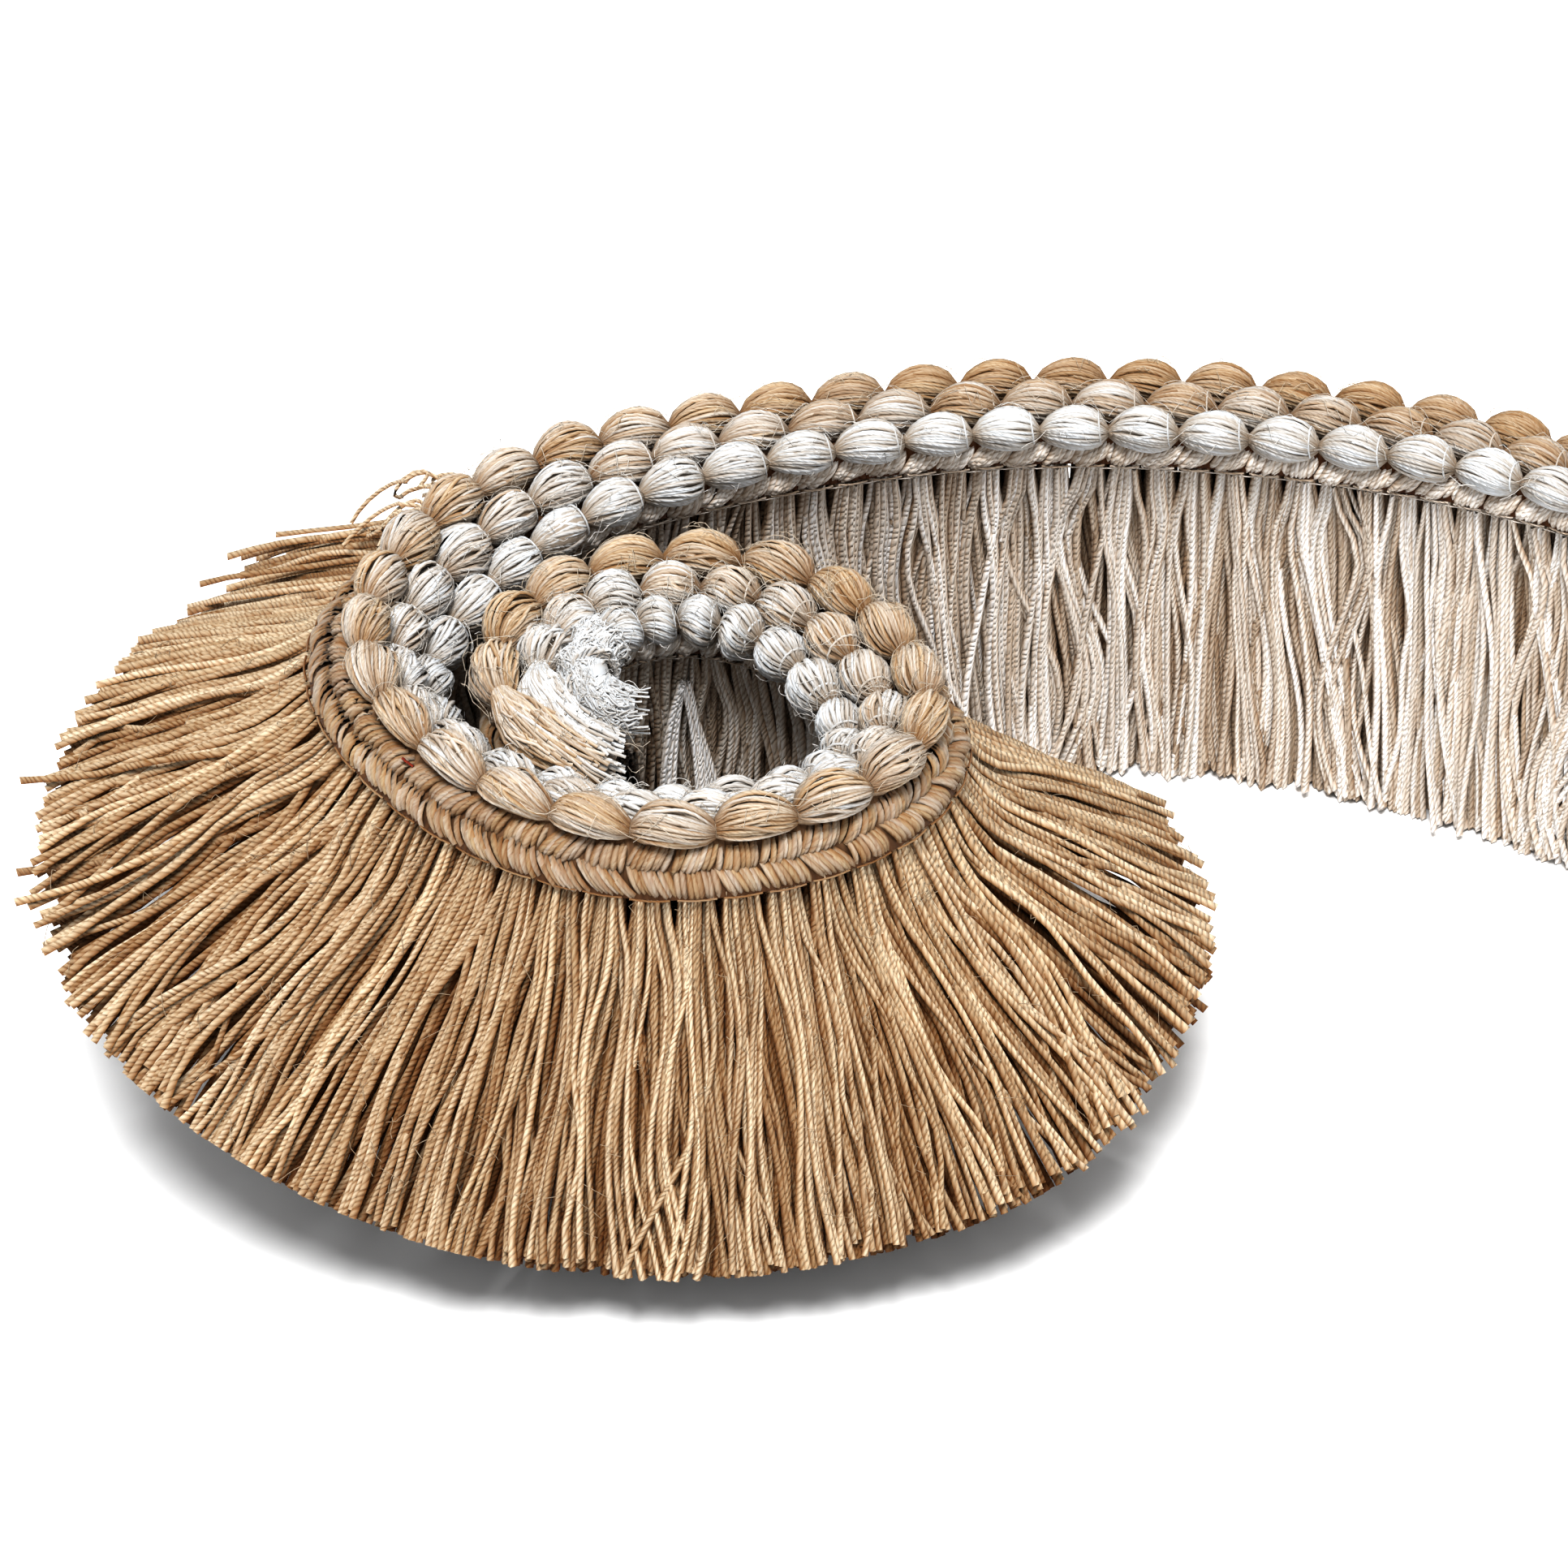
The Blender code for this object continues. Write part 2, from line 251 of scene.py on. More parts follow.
class Heading:
    """The heading's centre line, read at any number of puffs from the tail's end."""

    def __init__(self):
        rows = np.array(ROUTE, float)
        at = distance(rows[:, :2])
        fine = np.linspace(0.0, at[-1], ROUTE_SAMPLES)
        middle = np.array([FOOTPRINT_X, FOOTPRINT_Y, 0.0])
        points = natural_spline(rows[:, :3], at, fine) * MM - middle
        along = unit(np.gradient(points[:, :2], axis=0))
        outward = np.stack([along[:, 1], -along[:, 0], np.zeros(len(fine))], axis=1)
        columns = [smoothed(np.interp(fine, at, column)) for column in rows.T[3:]]
        angles = np.radians(np.stack(columns, axis=1))
        roll = angles[:, :1]
        outer_row = points + ROW_STEP * (outward * np.cos(roll) + UP * np.sin(roll))
        self.run = distance(outer_row)
        self.puffs = int(round(self.run[-1] / PITCH))
        self.columns = np.concatenate([points, outward, angles], axis=1)

    def read(self, puffs):
        """Centres, outward directions, and the roll and two splays in radians, at puff numbers. Past
        either end the line runs on straight."""
        puffs = np.asarray(puffs, float)
        place = puffs / self.puffs * self.run[-1]
        found = np.stack([np.interp(place, self.run, column) for column in self.columns.T], axis=-1)
        outward = unit(found[..., 3:6])
        along = np.stack([-outward[..., 1], outward[..., 0], np.zeros(puffs.shape)], axis=-1)
        beyond = place - np.clip(place, 0.0, self.run[-1])
        centre = found[..., :3] + along * beyond[..., None]
        return centre, outward, found[..., 6:]

    def section(self, puffs, across, drop):
        """World points at puff numbers, offset across the heading and down from the puffs' centres."""
        centre, outward, angles = self.read(puffs)
        roll = angles[..., :1]
        side = outward * np.cos(roll) + UP * np.sin(roll)
        down = outward * np.sin(roll) - UP * np.cos(roll)
        return centre + np.asarray(across)[..., None] * side + np.asarray(drop)[..., None] * down


class Layer:
    """One layer of fringe as a field: points by puff number, share of length, and offset from its middle."""

    def __init__(self, heading, side):
        self.side = side
        count = heading.puffs * FIELD_PER_PUFF + 1
        self.top = count - 1
        puffs = np.arange(count) / FIELD_PER_PUFF
        _, outward, angles = heading.read(puffs)
        roll = angles[:, :1]
        splay = angles[:, 1:2] if side > 0 else angles[:, 2:3]
        length = OUTER_LENGTH if side > 0 else INNER_LENGTH
        across = side * LAYER_CENTRE
        drop = INNER_DROP + (OUTER_DROP - INNER_DROP) * (across / BAND_HALF_FOOT + 1) / 2
        root = heading.section(puffs, across, drop)
        foot = heading.section(puffs, across, drop + GAP + STRIP_HEIGHT)
        part = (np.arange(YARN_STEPS) + 0.5)[None] / YARN_STEPS
        droop = np.radians(DROOP_DEG) * np.clip((np.degrees(splay) - 10) / 40, 0, 1)
        lean = roll + (splay - roll) * smooth_step(part / 0.3) - droop * part**2
        step = length / YARN_STEPS
        moves = step * (outward[:, None] * np.sin(lean)[..., None] - UP * np.cos(lean)[..., None])
        hung = foot[:, None] + np.cumsum(moves, axis=1)
        points = np.concatenate([root[:, None], foot[:, None], hung], axis=1)
        lean = np.concatenate([roll, lean[:, :1], lean], axis=1)
        below = GAP + STRIP_HEIGHT
        self.places = np.concatenate([[0.0, below], below + step * (1 + np.arange(YARN_STEPS))])
        self.length = self.places[-1]
        standing = 1.0 if side < 0 else np.clip((STANDING_DEG + 4 - np.degrees(splay)) / 8, 0, 1)
        base = foot[:, 2:]
        tip = points[:, -1:, 2]
        lift = tip * np.clip((base - points[..., 2]) / (base - tip), 0, 1) * standing
        points[..., 2] -= lift
        normal = outward[:, None] * np.cos(lean)[..., None] + UP * np.sin(lean)[..., None]
        level = self.places / self.length
        thick = 1 - THINNING * level * np.clip(np.sin(np.abs(lean)) * 1.6, 0, 1)
        self.grid = np.concatenate([points, normal, thick[..., None]], axis=2)

    def read(self, puffs, share):
        """Points, normals and thinning at puff numbers and shares of the yarn's length."""
        i = np.clip(puffs * FIELD_PER_PUFF, 0, self.top)
        j = np.interp(np.clip(share, 0, 1) * self.length, self.places, np.arange(len(self.places)))
        i0 = np.minimum(i.astype(int), self.top - 1)
        j0 = np.minimum(j.astype(int), len(self.places) - 2)
        fi = (i - i0)[..., None]
        fj = (j - j0)[..., None]
        near = self.grid[i0, j0] * (1 - fj) + self.grid[i0, j0 + 1] * fj
        far = self.grid[i0 + 1, j0] * (1 - fj) + self.grid[i0 + 1, j0 + 1] * fj
        found = near * (1 - fi) + far * fi
        return found[..., :3], unit(found[..., 3:6]), found[..., 6]


def ring_normals(rings):
    """Normals round each tube's rings. A tube of three sides has one corner outward, and the normals of its
    other two lean towards that corner, so that it is shaded like a round yarn."""
    radial = unit(rings - rings.mean(axis=2, keepdims=True))
    if rings.shape[2] == 3:
        radial = unit(radial + OUTWARD_LEAN * radial[:, :, :1])
    return radial


def tube_rings(paths, radii, refs, sides, flat):
    """Ring points of tubes: paths and refs are (tubes, points, 3), radii (tubes, points). flat is how high
    the section is, towards refs, against its width."""
    tangent = unit(np.gradient(paths, axis=1))
    first = unit(refs - tangent * np.sum(refs * tangent, axis=-1, keepdims=True))
    second = np.cross(tangent, first)
    turns = np.arange(sides) * TURN / sides
    ring = flat * first[:, :, None] * np.cos(turns)[:, None] + second[:, :, None] * np.sin(turns)[:, None]
    return paths[:, :, None] + radii[:, :, None, None] * ring


def side_faces(index, run, cell, across):
    """The faces along tubes: corners, numbers of sides, smoothness, and the corners' places in both maps.
    index is (tubes, points, sides), run the distance along each tube, and cell its column and row in the
    baking map, which has across by across cells."""
    _, length, sides = index.shape
    ahead = np.roll(index, -1, axis=2)
    quads = np.stack([index[:, :-1], ahead[:, :-1], ahead[:, 1:], index[:, 1:]], axis=-1)
    around = (np.arange(sides)[:, None] + np.array([0, 1, 1, 0])) / sides
    share = (np.arange(length - 1)[:, None, None] + np.array([0, 0, 1, 1])) / (length - 1)
    place = np.stack([run[:, :-1], run[:, :-1], run[:, 1:], run[:, 1:]], axis=-1)[:, :, None] / MM
    around, share, place = (np.broadcast_to(each, quads.shape) for each in (around, share, place))
    yarn = np.stack([around, place], axis=-1)
    inside = CELL_MARGIN + (1 - 2 * CELL_MARGIN) * np.stack([around, share], axis=-1)
    bake = (cell[:, None, None, None] + inside) / across
    count = quads.size // 4
    return quads.ravel(), np.full(count, 4), np.ones(count, bool), yarn.reshape(-1, 2), bake.reshape(-1, 2)


def end_faces(index, run, cell, across, end):
    """The flat faces at end 0 or 1 of tubes, given like those of side_faces."""
    count, _, sides = index.shape
    order = slice(None, None, 1 if end else -1)
    ring = index[:, -end, order]
    around = (np.arange(sides) / sides)[order]
    place = run[:, -end, None] / MM
    yarn = np.stack([np.broadcast_to(around, ring.shape), np.broadcast_to(place, ring.shape)], axis=-1)
    circle = CELL_END_RADIUS * np.stack([np.cos(TURN * around), np.sin(TURN * around)], axis=-1)
    bake = (cell[:, None] + circle + np.array([0.5, CELL_ENDS[end]])) / across
    flat = np.zeros(count, bool)
    return ring.ravel(), np.full(count, sides), flat, yarn.reshape(-1, 2), bake.reshape(-1, 2)


class Strands:
    """Gathers tubes of any number of points and sides, and makes one mesh of them."""

    def __init__(self):
        self.groups = []

    def add(self, paths, radii, refs, sides, tint, flat=1.0):
        """tint is (tubes, 4) or (tubes, points, 4): brightness, share of the second colour, ply phase, and a
        number at random."""
        paths = np.asarray(paths, float)
        radii = np.broadcast_to(radii, paths.shape[:2])
        refs = np.broadcast_to(refs, paths.shape)
        rings = tube_rings(paths, radii, refs, sides, flat)
        self.groups.append((rings, distance(paths), tint))

    def mesh(self, name):
        tubes = sum(len(rings) for rings, _, _ in self.groups)
        across = math.ceil(math.sqrt(tubes))
        points, normals, tints, faces = [], [], [], []
        first_point = 0
        first_tube = 0
        for rings, run, tint in self.groups:
            count, length, sides, _ = rings.shape
            index = first_point + np.arange(count * length * sides).reshape(count, length, sides)
            own = np.arange(first_tube, first_tube + count)
            cell = np.stack([own % across, own // across], axis=-1)
            faces.append(side_faces(index, run, cell, across))
            faces += [end_faces(index, run, cell, across, end) for end in (0, 1)]
            points.append(rings.reshape(-1, 3))
            normals.append(ring_normals(rings).reshape(-1, 3))
            if tint.ndim == 2:
                tint = np.repeat(tint[:, None], length, axis=1)
            tints.append(np.repeat(tint.reshape(-1, 4), sides, axis=0))
            first_point += index.size
            first_tube += count
        points = np.concatenate(points)
        points[:, 2] = np.maximum(points[:, 2], 0.0)
        corners, totals, smooth, yarn, bake = (np.concatenate(each) for each in zip(*faces))
        data = bpy.data.meshes.new(name)
        data.vertices.add(len(points))
        data.vertices.foreach_set("co", points.astype(np.float32).ravel())
        data.loops.add(len(corners))
        data.loops.foreach_set("vertex_index", corners.astype(np.int32))
        data.polygons.add(len(totals))
        starts = np.concatenate([[0], np.cumsum(totals)[:-1]])
        data.polygons.foreach_set("loop_start", starts.astype(np.int32))
        data.update(calc_edges=True)
        data.polygons.foreach_set("use_smooth", smooth)
        for layer, values in (("Yarn", yarn), ("OFBake", bake)):
            made = data.uv_layers.new(name=layer)
            made.data.foreach_set("uv", values.astype(np.float32).ravel())
        colour = data.attributes.new("tint", "FLOAT_COLOR", "POINT")
        colour.data.foreach_set("color", np.concatenate(tints).astype(np.float32).ravel())
        data.update()
        data.normals_split_custom_set_from_vertices(np.concatenate(normals).astype(np.float32))
        return data


def fill(node, values):
    for key, value in values.items():
        node.inputs[key].default_value = value


class NodeTree:
    """Short ways to add and join a material's nodes."""

    def __init__(self, material):
        material.use_nodes = True
        self.tree = material.node_tree
        self.shader = self.tree.nodes["Principled BSDF"]

    def new(self, kind, **settings):
        node = self.tree.nodes.new(kind)
        for key, value in settings.items():
            setattr(node, key, value)
        return node

    def join(self, source, target):
        if hasattr(source, "default_value"):
            self.tree.links.new(source, target)
        else:
            target.default_value = source

    def maths(self, operation, a, b=0.0, clamp=False):
        node = self.new("ShaderNodeMath", operation=operation, use_clamp=clamp)
        self.join(a, node.inputs[0])
        self.join(b, node.inputs[1])
        return node.outputs[0]

    def add(self, a, b, clamp=False):
        return self.maths("ADD", a, b, clamp)

    def minus(self, a, b):
        return self.maths("SUBTRACT", a, b)

    def times(self, a, b, clamp=False):
        return self.maths("MULTIPLY", a, b, clamp)

    def mix(self, factor, a, b, blend="MIX"):
        node = self.new("ShaderNodeMix", data_type="RGBA", blend_type=blend)
        self.join(factor, node.inputs[0])
        for value, socket in ((a, node.inputs[6]), (b, node.inputs[7])):
            self.join(value if hasattr(value, "default_value") else (*value, 1.0), socket)
        return node.outputs[2]

    def noise(self, vector, detail, roughness=0.5):
        node = self.new("ShaderNodeTexNoise")
        fill(node, {"Scale": 1.0, "Detail": detail, "Roughness": roughness})
        self.join(vector, node.inputs["Vector"])
        return node.outputs["Fac"]

    def combine(self, x, y, z):
        node = self.new("ShaderNodeCombineXYZ")
        for value, socket in zip((x, y, z), node.inputs):
            self.join(value, socket)
        return node.outputs[0]


def yarn_material(name, deep, crest, ply_turn, groove, twist=(0.2, 0.5), bump=0.16, sheen=0.05, shine=0.12):
    """Two-ply yarn. deep and crest are pairs of colours, for the grooves and for the crests, mixed by each
    strand's share of the second; the deep colour is painted shade in the grooves between the plies, and it
    also shows where a strand's random tone is dark. ply_turn is the length in millimetres in which a ply
    goes once round, groove is a pair of colours, painted shade, that a strand's flanks are multiplied by,
    and twist is how much the plies show, at least and at most."""
    material = bpy.data.materials.new(name)
    tree = NodeTree(material)
    tint = tree.new("ShaderNodeAttribute", attribute_name="tint")
    split = tree.new("ShaderNodeSeparateColor")
    tree.join(tint.outputs["Color"], split.inputs[0])
    bright, share, spare = split.outputs[0], split.outputs[1], split.outputs[2]
    own = tint.outputs["Alpha"]
    uv = tree.new("ShaderNodeUVMap", uv_map="Yarn")
    place = tree.new("ShaderNodeSeparateXYZ")
    tree.join(uv.outputs[0], place.inputs[0])
    around, run = place.outputs[0], place.outputs[1]
    sway = tree.noise(tree.combine(tree.times(run, 0.3), tree.times(own, 90.0), spare), 1.0)
    phase = tree.minus(around, tree.times(run, 1.0 / ply_turn))
    phase = tree.add(tree.add(phase, spare), tree.times(tree.minus(sway, 0.5), PLY_SWAY))
    wave = tree.maths("COSINE", tree.times(phase, TURN))
    ply = tree.maths("POWER", tree.maths("ABSOLUTE", wave), 0.8)
    grain_place = tree.combine(tree.times(phase, 8.0), tree.times(run, 0.8), tree.times(own, 40.0))
    grain = tree.noise(grain_place, 3.0, 0.6)
    patch = tree.noise(tree.combine(tree.times(run, 0.35), spare, tree.times(bright, 30.0)), 1.0)
    depth = tree.add(twist[0], tree.times(own, twist[1] - twist[0]))
    # Painted shade: the tone falls in the grooves between the plies. Grain, brightness and paler patches move
    # it too.
    tone = tree.add(0.5, tree.times(tree.minus(ply, 0.62), depth))
    tone = tree.add(tone, tree.times(tree.minus(grain, 0.5), GRAIN_TONE))
    tone = tree.add(tone, tree.minus(bright, 1.0))
    tone = tree.add(tone, tree.times(tree.minus(patch, 0.5), PATCH_TONE), clamp=True)
    colour = tree.mix(tone, tree.mix(share, *deep), tree.mix(share, *crest))
    # Darker strands are warmer too: this warms their darker random tones, and gives their painted shade a
    # brown colour
    shade = tree.maths("MINIMUM", bright, 1.0)
    green = tree.times(bright, tree.maths("POWER", shade, 0.45))
    blue = tree.times(bright, shade)
    colour = tree.mix(1.0, colour, tree.combine(bright, green, blue), "MULTIPLY")
    # Painted shade: a strand's flanks, where it meets the strands beside it, are multiplied by the groove
    # colours
    flank = tree.times(tree.minus(tree.maths("PINGPONG", around, 0.5), 0.08), 4.2, clamp=True)
    flank = tree.mix(flank, (1.0, 1.0, 1.0), tree.mix(share, *groove))
    colour = tree.mix(1.0, colour, flank, "MULTIPLY")
    tree.join(colour, tree.shader.inputs["Base Color"])
    relief = tree.new("ShaderNodeBump")
    fill(relief, {"Strength": 0.9, "Distance": bump * MM})
    tree.join(tree.add(ply, tree.times(grain, 0.6)), relief.inputs["Height"])
    tree.join(relief.outputs[0], tree.shader.inputs["Normal"])
    fill(tree.shader, {"Roughness": 0.6, "Specular IOR Level": shine})
    fill(tree.shader, {"Sheen Weight": sheen, "Sheen Roughness": 0.4, "Sheen Tint": (1.0, 0.95, 0.88, 1.0)})
    return material


def put(name, data):
    """A new object in the scene."""
    obj = bpy.data.objects.new(name, data)
    bpy.context.scene.collection.objects.link(obj)
    return obj


def piece(name, strands, material, slot, *nodes):
    obj = put(name, strands.mesh(name))
    obj.data.materials.append(material)
    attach(obj, "root")
    if nodes:
        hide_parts(*nodes)


def tints(count, bright=(0.82, 1.12), share=0.0, varied=0.0):
    """Brightness, share of the second colour, ply phase, and a number at random, for each strand."""
    rows = rng.random((count, 4))
    rows[:, 0] = bright[0] + (bright[1] - bright[0]) * rows[:, 0]
    rows[:, 1] = np.clip(share + varied * (rows[:, 1] - 0.5), 0, 1)
    return rows


def read_table(table, at):
    """The value that a table has at puff numbers, on straight lines between its places."""
    places, values = np.array(table, float).T
    return np.interp(at, places, values)


class Clumps:
    """Where the yarns of one depth of a layer draw together, along the whole run. Places are in cells."""

    def __init__(self, cells, narrow, wide):
        edges = np.cumsum(rng.uniform(narrow, wide, int(cells / narrow) + 4)) - 1.0
        self.edges = edges[edges < cells + 2]
        count = len(self.edges) + 1
        middles = (self.edges[:-1] + self.edges[1:]) / 2
        self.centre = np.concatenate([[self.edges[0] - 0.3], middles, [self.edges[-1] + 0.3]])
        self.centre = self.centre + rng.normal(0, 0.08, count)
        self.drift = rng.normal(0, 1.0, count)
        self.lift = rng.normal(0, 1.0, count)
        self.wave = rng.normal(0, 1.0, count)
        self.turns = rng.uniform(0.5, 1.2, count)
        self.start = rng.uniform(0, TURN, count)
        self.reach = rng.normal(0, 1.0, count)
        self.tone = rng.random(count)


def fringe_yarns(layer, clumps, first_cell, cells, per_row, points, look):
    """The yarns of some cells of one layer. They leave the band in bunches, two to a puff, draw together
    lower down into clumps that differ from one depth to the next, and spread again at their tips."""
    strands = Strands()
    down = shares(points)
    free = smooth_step(down / 0.25)
    gather = smooth_step((down - 0.06) / 0.4) * (1 - 0.6 * smooth_step((down - 0.55) / 0.45))
    thicken = 0.72 + 0.28 * smooth_step(down / 0.15)
    side, rows = layer.side, len(clumps)
    for cell in range(first_cell, first_cell + cells):
        for depth, field in enumerate(clumps):
            shown = 1 - depth / (rows - 1)
            place = cell + (np.arange(per_row) + rng.uniform(0.15, 0.85, per_row)) / per_row
            k = np.searchsorted(field.edges, place)
            puff = place / 2
            across = place[:, None] + (field.centre[k] - place)[:, None] * (0.18 + 0.42 * shown) * gather
            bunched = look["bunching"] * (1 - smooth_step(down / 0.2))
            across = across + (cell + 0.5 - place)[:, None] * bunched
            own = rng.normal(0, 1.0, (6, per_row))
            stray = (rng.random(per_row) < look["strays"]) * (depth < 2)
            drift = look["drift"] * (0.25 + 0.75 * shown) * field.drift[k]
            drift = drift + (look["own_drift"] + stray * 2.6) * own[0] + read_table(look["lean"], puff)
            bend = look["wave"] * (0.3 + 0.7 * shown) * field.wave[k][:, None]
            waves = bend * np.sin(field.start[k][:, None] + TURN * field.turns[k][:, None] * down)
            turns = spread(0.8, 2.4, per_row)
            start = spread(0, TURN, per_row)
            waves = waves + 0.2 * own[1][:, None] * np.sin(start + TURN * turns * down)
            lateral = drift[:, None] * down**1.25 + waves * free
            raised = side * (1 - 2 * depth / (rows - 1)) * (LAYER_DEPTH - FRINGE_RADIUS) / MM
            raised = raised + side * spread(-1.0, 0.5, per_row)
            lift = read_table(look["lift"], puff)
            lift = np.where(lift > 0, lift * (0.55 + 0.45 * rng.random(per_row)), lift)
            rise = down ** np.where((puff < EARLY_LIFT) & (lift > 0), 0.75, 1.4)[:, None]
            apart = (0.45 * field.lift[k] + np.abs(own[2]) * (0.3 + 1.1 * stray)) * (0.4 + 0.6 * shown)
            apart = side * (apart - look["sag"] * (1 - shown))
            offset = raised + lift[:, None] * rise + apart[:, None] * down**1.4
            offset = offset + 0.25 * own[3][:, None] * np.sin(start + 1.3 + TURN * turns * down) * free
            reach = read_table(look["reach"], puff) * (1 + 0.012 * field.reach[k])
            reach = np.minimum(reach - rng.uniform(0, 0.03, per_row), look["longest"])
            puffs = across / 2 + lateral * MM / PITCH
            spots, normal, thick = layer.read(puffs, down * reach[:, None])
            paths = spots + normal * (offset * MM * thick)[..., None]
            radius = THREE_SIDED * look["radius"] * spread(0.82, 1.12, per_row) * thicken
            radius[:, -1] *= 1.15
            paths[..., 2] = np.maximum(paths[..., 2], radius * 0.3)
            tint = tints(per_row, (0.86, 1.14))
            # Painted shade: the deeper a row of yarns lies, the darker it is
            tint[:, 0] *= 0.45 + 0.55 * shown
            tint[:, 1] = look["share"](field.tone[k], rng.random(per_row))
            strands.add(paths, radius, normal * side, 3, tint)
    return strands


def tan_share(clump, own):
    return np.clip(0.25 * clump + 0.75 * own, 0, 1)


def pale_share(clump, own):
    """Some yarns, and nearly all of some clumps, are bright white; the rest are greyish tan."""
    white = (own < 0.3) | ((clump > 0.6) & (own < 0.85))
    return np.where(white, 0.85 + 0.15 * own, 0.35 * own)


def hollow_shade_share(clump, own):
    """Inside the coil the yarns have less of the white yarn, so they are browner: painted shade in the
    hollow.
    """
    return 0.35 * pale_share(clump, own)


def puff_profile(part, pinch):
    """Fuller towards the end that a puff begins at."""
    return pinch + (1 - pinch) * np.sin(np.pi * np.clip(part, 0, 1) ** 0.85) ** 0.62


def puff_place(heading, row, begin, part, angle, swell):
    """Points round a puff at shares of its length. Its ends dip towards the band, so that it bows."""
    swell = swell * read_table(PUFF_SIZE, begin)
    sink = read_table(TAN_SINK, begin) * max(row, 0.3) * MM
    dip = PUFF_BOW * (1 - np.sin(np.pi * np.clip(part, 0, 1)) ** 0.7)
    across = (LOOSE_PUFF_HALF_WIDTH - STRAND_RADIUS) * swell * np.cos(angle)
    drop = (LOOSE_PUFF_HALF_HEIGHT - STRAND_RADIUS) * swell * np.sin(angle)
    return heading.section(begin + part, across + row * (ROW_STEP - 0.35 * dip), drop + sink + dip + 0.2 * MM)


def puff_starts(heading, start, last):
    return [number + start for number in range(heading.puffs) if number + start + 1 <= last]


def puff_strands(heading, row, start, share, last):
    """The strands of a row of puffs, without those against the band. share is the table of each puff's mean
    share of the second colour."""
    strands = Strands()
    part = shares(STRAND_POINTS)
    arch = np.sin(np.pi * part)
    for begin in puff_starts(heading, start, last):
        mess = read_table(PUFF_MESS, begin)
        number = begin - start
        full = int(PUFF_STRANDS * (1 + 0.12 * (mess - 1)))
        turn = (np.arange(full) + rng.uniform(-0.4, 0.4, full)) * TURN / full
        turn = turn[np.sin(turn) < 0.8]
        count = len(turn)
        slant = math.radians(20 + 10 * mess) + rng.normal(0, math.radians(6 * mess))
        slant = slant + scatter(math.radians(6 + 5 * mess), count)
        angle = turn[:, None] + slant * (part - 0.5) + scatter(0.04 * mess, count) * swing(part)
        swell = puff_profile(part, read_table(PUFF_PINCH, begin)) * (1 + rng.normal(0, 0.025 * mess))
        swell = swell * (1 + np.clip(scatter(0.03 * mess, count), -0.08, 0.2) * arch)
        swell = swell * (1 + 0.06 * (mess - 1) * np.sin(turn * 2 + number * 1.7)[:, None] * arch)
        place = 0.01 + 0.98 * np.clip(part + scatter(0.012 * mess, count) * arch, 0, 1)
        paths = puff_place(heading, row, begin, place, angle, swell)
        middle = puff_place(heading, row, begin, place, angle, 0 * swell)
        radius = THREE_SIDED * STRAND_RADIUS * (0.6 + 0.4 * arch**0.5) * spread(0.8, 1.15, count)
        mean = read_table(share, begin + 0.5)
        varied = 0.9 * mean * (1 - mean)
        tint = tints(count, (0.88, 1.12))
        # Painted shade on the tail's puffs
        tint[:, 0] *= read_table(PAINTED_TAIL_SHADE, begin) if row >= 0 else 1.0
        mixed = mean + varied * np.sin(turn + number * 2.4) + rng.normal(0, 0.05 + 0.5 * varied, count)
        tint[:, 1] = np.clip(mixed, 0, 1)
        tint = np.repeat(tint[:, None], STRAND_POINTS, axis=1)
        # Painted shade: each strand is darker towards its two ends, at the pinches between the puffs
        tint[..., 0] *= 0.62 + 0.38 * arch**0.5
        strands.add(paths, radius, paths - middle, 3, tint, 0.6)
    return strands


def puff_cores(heading, row, start, share, last):
    """A plain tube inside each puff, so that nothing shows between its strands. It is darker and warmer than
    the strands, as painted shade between them.
    """
    strands = Strands()
    part = np.linspace(0.0, 1.0, 7)[:, None]
    angle = (np.arange(8) * TURN / 8)[None]
    for begin in puff_starts(heading, start, last):
        fill = 0.94 - 0.03 * (read_table(PUFF_MESS, begin) - 1)
        swell = fill * puff_profile(part, read_table(PUFF_PINCH, begin))
        rings = puff_place(heading, row, begin, part, angle, swell)[None]
        # Painted shade: the core is darker than the strands round it
        tint = tints(1, (0.78, 0.84), read_table(share, begin + 0.5))
        strands.groups.append((rings, part.T * PITCH, tint))
    return strands


def pinch_wraps(strands, heading, row, start, share, last):
    """A fine strand that closes one end of each puff."""
    part = np.linspace(0.0, 1.0, 12)
    for begin in puff_starts(heading, start, last):
        angle = np.radians(150 + 250 * part) + rng.normal(0, 0.1)
        place = 0.1 + 0.05 * np.sin(np.pi * part) + rng.normal(0, 0.01)
        swell = puff_profile(place, read_table(PUFF_PINCH, begin)) * 1.03
        path = puff_place(heading, row, begin, place, angle, swell)
        middle = puff_place(heading, row, begin, place, angle, 0 * swell)
        tint = tints(1, (0.95, 1.1), read_table(share, begin))
        strands.add(path[None], 0.17 * MM, (path - middle)[None], 3, tint)


def puff_fuzz(heading, rows):
    """Fine loose fibres that stand off the puffs, most of them round the coil."""
    strands = Strands()
    part = shares(5)
    for row, start, share in rows:
        for begin in puff_starts(heading, start, heading.puffs):
            count = int(read_table(FUZZ_PER_PUFF, begin))
            low, high = (150, 390) if row else (190, 350)
            angle = np.radians(spread(low, high, count))
            angle = angle if row >= 0 else math.pi - angle
            length = spread(0.12, 0.45, count)
            place = spread(0.0, 1.0, count) + length * (part - 0.5)
            turned = angle + scatter(0.6, count) * (part - 0.5)
            turned = turned + scatter(0.2, count) * swing(part, spread(0.5, 1.5, count))
            stand = spread(0.08, 0.36, count) * np.sin(np.pi * part * spread(0.5, 1.0, count))
            swell = puff_profile(np.mod(place, 1.0), 0.6) * (1.08 + stand)
            paths = puff_place(heading, row, begin, place, turned, swell)
            tint = tints(count, (0.95, 1.1), read_table(share, begin + 0.5))
            strands.add(paths, spread(0.035, 0.055, count) * MM, UP, 3, tint)
    return strands


